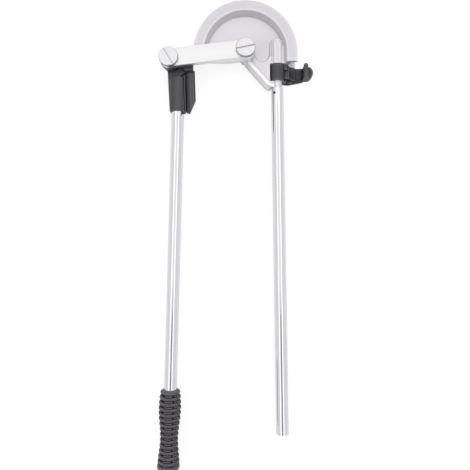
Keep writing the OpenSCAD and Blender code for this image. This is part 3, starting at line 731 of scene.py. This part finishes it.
def brace_line(out, steps):
    """Points along the brace and round its bend, at a distance outside the brace's outer line."""
    turns = [BRACE_ANGLE * (1 - i / BEND_STEPS) for i in range(steps + 1)]
    ways = [Vector((-math.sin(turn), -math.cos(turn))) for turn in turns]
    start = (BRACE_OFFSET + out) * outward + BRACE_START * along
    return [start] + [bend_middle + (BRACE_BEND_R + out) * way for way in ways]


def brace_layer(name, out, steps, low, high):
    """A layer along the brace, as wide as the strip and what it stands out."""
    outline = brace_line(out, steps) + brace_line(-STRIP_WIDTH, steps)[::-1]
    return raised_block(name, outline, upright(low), high - low)


former_details = [brace_layer("painted_highlight_strip", 0.0, BEND_STEPS, STRIP_LOW, STRIP_HIGH)]
for i in range(SLOPE_LAYERS):
    share = i / SLOPE_LAYERS
    high = SLOPE_FOOT + share * (STRIP_HIGH - SLOPE_FOOT)
    slope = brace_layer("slope_layer", SLOPE_OUT * (1 - share), SLOPE_BEND_STEPS, SLOPE_LOW, high)
    former_details.append(slope)
print("brace layers:", len(former_details))

# %% Boss above the hook
BOSS_X, BOSS_FOOT, BOSS_LOW = 47.8, -14.7, 20.0
# Each step: half its width, its upper end and its front.
BOSS_STEPS = ((10.6, 22.5, 24.3), (7.7, 20.0, 26.5), (5.1, 18.5, 28.3))
BOSS_END_POINTS = 12
WEB_LEFT, WEB_RIGHT, WEB_TOP, WEB_FRONT = 50.0, 61.0, 12.0, 26.0


def round_ended(half, top):
    """Outline of a step of the boss, with a half-round upper end."""
    turns = [math.pi * i / BOSS_END_POINTS for i in range(BOSS_END_POINTS + 1)]
    end = [(BOSS_X + half * math.cos(turn), top - half + half * math.sin(turn)) for turn in turns]
    return [(BOSS_X - half, BOSS_FOOT), (BOSS_X + half, BOSS_FOOT)] + end


web = [(WEB_LEFT, BOSS_FOOT), (WEB_RIGHT, BOSS_FOOT), (WEB_RIGHT, WEB_TOP), (WEB_LEFT, WEB_TOP)]
former_details.append(raised_block("boss_web", web, upright(BOSS_LOW), WEB_FRONT - BOSS_LOW))
for half, top, front in BOSS_STEPS:
    step = raised_block("boss_step", round_ended(half, top), upright(BOSS_LOW), front - BOSS_LOW)
    former_details.append(step)
print("former details:", len(former_details))

# %% Former with cast edges
FORMER_GRID = 0.0007
former_mesh = soften("cast_former", "former", FORMER_GRID, former_details)


def mark_brace_painted_light(mesh):
    """Mark the strip and the slope with 1 for a painted highlight, and the foot below the slope with -1 for
    painted shade.
    """
    # The ground attribute carries the painted highlight on the brace strip and slope.
    layer = mesh.attributes.new("ground", "FLOAT", "POINT")
    painted_shade = mesh.attributes["edge"].data
    for point, value in zip(mesh.vertices, layer.data):
        spot = 1000 * point.co
        from_bend = spot.xy - bend_middle
        inside = BRACE_BEND_R - from_bend.length
        if from_bend.dot(along) < 0:
            inside = BRACE_OFFSET - spot.xy.dot(outward)
        if from_bend.x >= 0 or spot.xy.dot(along) <= BRACE_START:
            continue
        if spot.z > STRIP_HIGH - STRIP_EDGE:
            value.value = min(1.0, max(0.0, STRIP_WIDTH - inside))
        elif inside < 0 and spot.z > SLOPE_FOOT:
            value.value = 1.0
        # The foot below the slope is darkened with painted shade.
        elif inside < 0:
            painted_shade[point.index].value = -1.0


mark_brace_painted_light(former_mesh)
new_piece("cast_former", former_mesh, cast_aluminium, "former", "cast_aluminium", "former")

# %% [markdown]
# ## Hook
# The hook is one moulding. Inside it a cradle follows the tube's round on the side of the band, and the
# floor drops a little beyond the cradle's edge. A small ear stands beside the band, and a foot, a ledge
# and a thin flange stiffen the lower edge.

# %% Small forms of the hook
MOULDING_GRID = 0.0004
TUBE_X, TUBE_Z = 77.0, 17.0
CRADLE_R, CRADLE_FROM, CRADLE_SPAN, CRADLE_STEPS = 11.3, 183, 85, 20
CRADLE_LEFT, CRADLE_LOW, CRADLE_TOP_Y, CRADLE_LENGTH = 62.0, 5.0, -18.3, 15.8
arc = [math.radians(CRADLE_FROM + CRADLE_SPAN * i / CRADLE_STEPS) for i in range(CRADLE_STEPS + 1)]
cradle = [(TUBE_X + CRADLE_R * math.cos(t), TUBE_Z + CRADLE_R * math.sin(t)) for t in arc]
cradle = [(CRADLE_LEFT, CRADLE_LOW), (CRADLE_LEFT, cradle[0][1])] + cradle + [(cradle[-1][0], CRADLE_LOW)]
hook_details = [raised_block("cradle", cradle, lengthways(CRADLE_TOP_Y), CRADLE_LENGTH)]

# Each form: where it starts above the table, its height, and its outline.
HOOK_FORMS = {
    "ear": (10.0, 10.5, ((57.6, -15.7), (62.6, -15.7), (62.6, -22.4), (57.6, -22.4))),
    "foot": (3.0, 10.5, ((55.5, -33.0), (62.3, -33.0), (62.3, -39.0), (57.0, -39.3))),
    "ledge": (1.5, 4.2, ((64.6, -33.0), (73.0, -33.0), (72.0, -38.6), (64.6, -39.0))),
    "flange": (1.2, 2.6, ((54.5, -33.0), (88.5, -33.0), (88.5, -36.3), (78.0, -38.4), (68.0, -40.2),
                          (60.0, -40.0), (56.0, -38.4))),
}
for name, (low, height, outline) in HOOK_FORMS.items():
    hook_details.append(raised_block(name, outline, upright(low), height))
print("hook details:", len(hook_details))

# %% Hook with moulded edges
FLOOR_DROP = ((76.7, -14.0), (88.2, -14.0), (88.2, -34.2), (76.7, -34.2))
FLOOR_LOW, FLOOR_DEPTH = 4.9, 2.0
# Many rounds reach the hook's whole hollow, so its inside is darkened with painted shade.
HOOK_SHADE_MEASURE = (70, 0.0010)
floor_drop = raised_block("floor_drop", FLOOR_DROP, upright(FLOOR_LOW), FLOOR_DEPTH)
hook_mesh = soften("moulded_hook", "tube_hook", MOULDING_GRID, hook_details, [floor_drop], HOOK_SHADE_MEASURE)
new_piece("moulded_hook", hook_mesh, shaded_hook_moulding, "hook", "black_moulding", "tube_hook")

# %% [markdown]
# ## Slide block
# Beside the socket the block has a thin rib, set off from the socket's round by a narrow groove. Both
# run along the slide channel, which isn't quite parallel to the socket, so they are drawn in the
# channel's own frame at the lever's pivot.

# %% Slide block with moulded edges
CHANNEL_TURN = math.radians(1.1)
RIB_TOP_Y, RIB_END_Y = -20.6, -71.2
# The rib and the groove: from and to across the channel, then from and to above the table.
RIB = ((19.3, 20.4), (18.0, 27.4))
GROOVE = ((17.5, 19.3), (24.2, 32.0))
channel_place = joint_place["lever_swing"].xy.to_3d()
channel_frame = Matrix.Translation(channel_place) @ Matrix.Rotation(CHANNEL_TURN, 4, "Z")


def in_channel(low_z):
    """Outlines in the channel's X and Y, raised along Z. Sizes in millimetres."""
    return lambda u, v, w: channel_frame @ Vector((u / 1000, v / 1000, (low_z + w) / 1000))


def channel_box(name, across, upwards):
    """A bar along the rib's length, between two places across the channel and two heights."""
    (low_x, high_x), (low_z, high_z) = across, upwards
    corners = [(low_x, RIB_TOP_Y), (high_x, RIB_TOP_Y), (high_x, RIB_END_Y), (low_x, RIB_END_Y)]
    return raised_block(name, corners, in_channel(low_z), high_z - low_z)


rib, groove = channel_box("rib", *RIB), channel_box("groove", *GROOVE)
block_mesh = soften("moulded_block", "slide_block", MOULDING_GRID, [rib], [groove])
new_piece("moulded_block", block_mesh, black_moulding, "lever", "black_moulding", "slide_block")

# %% [markdown]
# ## Link bar
# The link is a steel bar with round ends and two drilled holes, which thickens to a root where it
# reaches down into the former's recess. Its edges are broken by a file, so the outline is drawn once,
# extruded and given a small bevel. The points of its underside are then lowered to the root, and the
# holes are cut last so that they stay crisp.

# %% Outline of the link bar
link_low, link_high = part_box("link_arm")
LINK_HALF_WIDTH = 0.0131
LINK_END_RADIUS = 0.0135
LINK_HOLE_RADIUS = 0.00603
LINK_BEVEL, BEVEL_STEPS = 0.0007, 3
LINK_BAR_THICKNESS = 0.008
ROOT_LENGTH, ROOT_END = 0.028, 0.056
END_POINTS = 24
link_pivot = joint_place["link_swing"]
lever_pivot = joint_place["lever_swing"]
link_length = (lever_pivot - link_pivot).length
corner = math.asin(LINK_HALF_WIDTH / LINK_END_RADIUS)


def bar_outline():
    """Points round the bar, with the pivot at the origin and the lever's end at -X."""
    turns = [corner - 2 * corner * i / END_POINTS for i in range(END_POINTS + 1)]
    near = [(LINK_END_RADIUS * math.cos(t), -LINK_END_RADIUS * math.sin(t)) for t in turns]
    far = [(-link_length - x, -y) for x, y in near]
    breaks = [(-ROOT_LENGTH, LINK_HALF_WIDTH), (-ROOT_END, LINK_HALF_WIDTH)]
    return near + breaks + far + [(x, -y) for x, y in reversed(breaks)]


print("link bar between its pivots:", round(link_length * 1000, 1), "mm")

# %% Bar with broken edges and a root
bar_low = link_high.z - LINK_BAR_THICKNESS
shape = bmesh.new()
ring_points = [shape.verts.new((x, y, bar_low)) for x, y in bar_outline()]
floor_face = shape.faces.new(ring_points)
raised = bmesh.ops.extrude_face_region(shape, geom=[floor_face])
lifted = [item for item in raised["geom"] if isinstance(item, bmesh.types.BMVert)]
bmesh.ops.translate(shape, verts=lifted, vec=(0, 0, LINK_BAR_THICKNESS))
bmesh.ops.recalc_face_normals(shape, faces=shape.faces)
rims = [edge for edge in shape.edges if edge.verts[0].co.z == edge.verts[1].co.z]
bmesh.ops.bevel(shape, geom=rims, offset=LINK_BEVEL, segments=BEVEL_STEPS, profile=0.5, affect="EDGES")
for x in (-ROOT_LENGTH, -ROOT_END):
    everything = shape.verts[:] + shape.edges[:] + shape.faces[:]
    bmesh.ops.bisect_plane(shape, geom=everything, plane_co=(x, 0, 0), plane_no=(1, 0, 0))
for point in shape.verts:
    if point.co.z < bar_low + 2 * LINK_BEVEL:
        share = (ROOT_END + point.co.x) / (ROOT_END - ROOT_LENGTH)
        point.co.z -= (bar_low - link_low.z) * min(1.0, max(0.0, share))
direction = lever_pivot - link_pivot
turn = Matrix.Rotation(math.atan2(-direction.y, -direction.x), 4, "Z")
bmesh.ops.transform(shape, matrix=turn, verts=shape.verts)
bar_mesh = bpy.data.meshes.new("link_bar")
shape.to_mesh(bar_mesh)
shape.free()
print("bar points:", len(bar_mesh.vertices))

# %% Drill the link bar
DRILL_SIDES, DRILL_PAST = 64, 0.01
BAR_SHARP = math.radians(35)


def drill(mesh, places, radius, low, high):
    """Cut round holes along Z through a closed mesh."""
    cutters = bmesh.new()
    for place in places:
        middle = Matrix.Translation((place.x, place.y, (low + high) / 2))
        bmesh.ops.create_cone(cutters, cap_ends=True, segments=DRILL_SIDES, radius1=radius, radius2=radius,
                              depth=high - low + DRILL_PAST, matrix=middle)
    cutter_mesh = bpy.data.meshes.new("drills")
    cutters.to_mesh(cutter_mesh)
    cutters.free()
    cutter = bpy.data.objects.new("drills", cutter_mesh)
    blank = bpy.data.objects.new("blank", mesh)
    for thing in (cutter, blank):
        scene.collection.objects.link(thing)
    cut = blank.modifiers.new("holes", "BOOLEAN")
    cut.object = cutter
    cut.operation = "DIFFERENCE"
    cut.solver = "EXACT"
    drilled = evaluated_mesh(blank)
    for thing in (cutter, blank):
        bpy.data.objects.remove(thing)
    return drilled


bar_mesh = drill(bar_mesh, (link_pivot, lever_pivot), LINK_HOLE_RADIUS, link_low.z, link_high.z)
bar_mesh.name = "link_bar"
new_piece("link_bar", bar_mesh, plated_bar, "link", "plated_steel", "link_arm")
bar_mesh.set_sharp_from_angle(angle=BAR_SHARP)
print("link bar faces:", len(bar_mesh.polygons))

# %% [markdown]
# ## Grip
# The grip is a rubber sleeve with a belly and a waist. Its rings are raised all round, and between
# them the rubber stands up in pads with pockets around them, so fingers don't slip. A turned solid can't
# show pads, so the sleeve is drawn as a grid of points: one row per step along the tube and one column
# per step round it, with the radius worked out at each point.

# %% Grip sizes, as in the part
GRIP_TOP, GRIP_LENGTH = 0.490, 0.119
LEVER_X, LEVER_Z, LEVER_TILT = 0.0116, 0.017, math.radians(-2.4)
BELLY_SHARE, WAIST_SHARE = 0.25, 0.62
TOP_R, BELLY_R, WAIST_R, END_R = 0.0144, 0.0169, 0.0137, 0.0169
RINGS, RING_SHARE = 14, 0.72
FLANGE_H, END_WALL, BORE_R = 0.006, 0.005, 0.00953
PITCH = (GRIP_LENGTH - FLANGE_H) / RINGS
lever_place = Matrix.Translation((lever_pivot.x, lever_pivot.y, LEVER_Z))
lever_frame = lever_place @ Matrix.Rotation(LEVER_TILT, 4, "Z")


def sleeve_radius(share):
    """Radius over the rings at a share of the grip's length, from its top."""
    if share < BELLY_SHARE:
        return BELLY_R - (BELLY_R - TOP_R) * (1 - share / BELLY_SHARE) ** 2
    if share < WAIST_SHARE:
        way = (share - BELLY_SHARE) / (WAIST_SHARE - BELLY_SHARE)
        return WAIST_R + (BELLY_R - WAIST_R) * (1 + math.cos(math.pi * way)) / 2
    way = (share - WAIST_SHARE) / (1 - WAIST_SHARE)
    return WAIST_R + (END_R - WAIST_R) * (1 - math.cos(math.pi * way)) / 2


print("grip pitch:", round(PITCH * 1000, 2), "mm")

# %% Pads between the rings
# Each pad: where it starts and ends round the grip, in degrees from the front.
PADS = ((-26, 21), (33, 62), (130, 168), (180, 223), (236, 260))
PAD_EDGE = 5.0
PAD_DROP = 0.0005
RING_HALF, PAD_HALF = 0.31, 0.115
CORE_R = 0.0107
POCKET_DEPTH = 0.0042
GROOVE_DEPTH = 0.0022
TOP_CHAMFER = 0.0028
CROWN_POWER = 3.5


def rise(value, edge, width):
    """A smooth step from 0 to 1 about an edge."""
    way = min(1.0, max(0.0, (value - edge) / width + 0.5))
    return way * way * (3 - 2 * way)


def crown(offset, half):
    """Height of a rounded band, 1 at its middle and 0 at its sides."""
    return max(0.0, 1 - abs(offset / half) ** CROWN_POWER) ** 0.5


def on_pad(angle):
    """1 on a pad and 0 in a pocket, for an angle from the front in degrees."""
    best = 0.0
    for low, high in PADS:
        turned = low + (angle - low + 90) % 360 - 90
        best = max(best, rise(turned, low, PAD_EDGE) * (1 - rise(turned, high, PAD_EDGE)))
    return best


def rubber_radius(along, angle):
    """Radius of the rubber at a distance from the top and an angle from the front."""
    outside = sleeve_radius(along / GRIP_LENGTH)
    outside -= (TOP_R - CORE_R) * max(0.0, 1 - along / TOP_CHAMFER)
    phase = along / PITCH % 1.0
    from_ring = abs(phase - RING_SHARE / 2)
    from_ring = min(from_ring, 1 - from_ring)
    padded = on_pad(angle)
    pocket = min(POCKET_DEPTH, outside - CORE_R)
    depth = pocket + (min(GROOVE_DEPTH, pocket) - pocket) * padded
    ring = crown(from_ring, RING_HALF) * depth
    pad = crown(0.5 - from_ring, PAD_HALF) * (depth - PAD_DROP) * padded
    return outside - depth + max(ring, pad)


print("pads in a row:", len(PADS))

# %% Grip
ROW_STEPS, COLUMNS = 18, 160
# Each point: how far it lies below the flange's top, and how far outside the end's radius.
FLANGE_SHAPE = ((0.0, -0.0022), (0.0004, -0.0007), (0.0014, 0.0), (0.0046, 0.0), (0.0056, -0.0006),
                (0.006, -0.0018))
RUBBER_SHARP = math.radians(50)
# The edge measure on the grip darkens its pockets with painted shade and makes ring edges paler.
RUBBER_EDGE_AND_SHADE_MEASURE = (16, 0.0005)
grip_shape = bmesh.new()


def circle_row(along, radius):
    """Points round the tube at one distance from the grip's top, with a radius for each angle."""
    row = []
    for column in range(COLUMNS):
        angle = 360.0 * column / COLUMNS
        r = radius(along, angle) if callable(radius) else radius
        bearing = math.radians(angle)
        point = Vector((LEVER_X + r * math.sin(bearing), -GRIP_TOP - along, r * math.cos(bearing)))
        row.append(grip_shape.verts.new(lever_frame @ point))
    return row


rows = [circle_row(GRIP_LENGTH - END_WALL, BORE_R), circle_row(0.0, BORE_R)]
ring_steps = RINGS * ROW_STEPS
rows += [circle_row(PITCH * i / ROW_STEPS, rubber_radius) for i in range(ring_steps)]
flange_top = GRIP_LENGTH - FLANGE_H
rows += [circle_row(flange_top + drop, END_R + inset) for drop, inset in FLANGE_SHAPE]
for row, following in zip(rows, rows[1:]):
    for column in range(COLUMNS):
        beside = (column + 1) % COLUMNS
        grip_shape.faces.new((row[column], row[beside], following[beside], following[column]))
grip_shape.faces.new(rows[0])
grip_shape.faces.new(rows[-1])
bmesh.ops.recalc_face_normals(grip_shape, faces=grip_shape.faces)
grip_mesh = bpy.data.meshes.new("rubber_grip")
grip_shape.to_mesh(grip_mesh)
grip_shape.free()
new_piece("rubber_grip", grip_mesh, grip_rubber, "lever", "grip_rubber", "grip")
grip_mesh.set_sharp_from_angle(angle=RUBBER_SHARP)
keep_edges(grip_mesh, *RUBBER_EDGE_AND_SHADE_MEASURE)
print("grip faces:", len(grip_mesh.polygons))
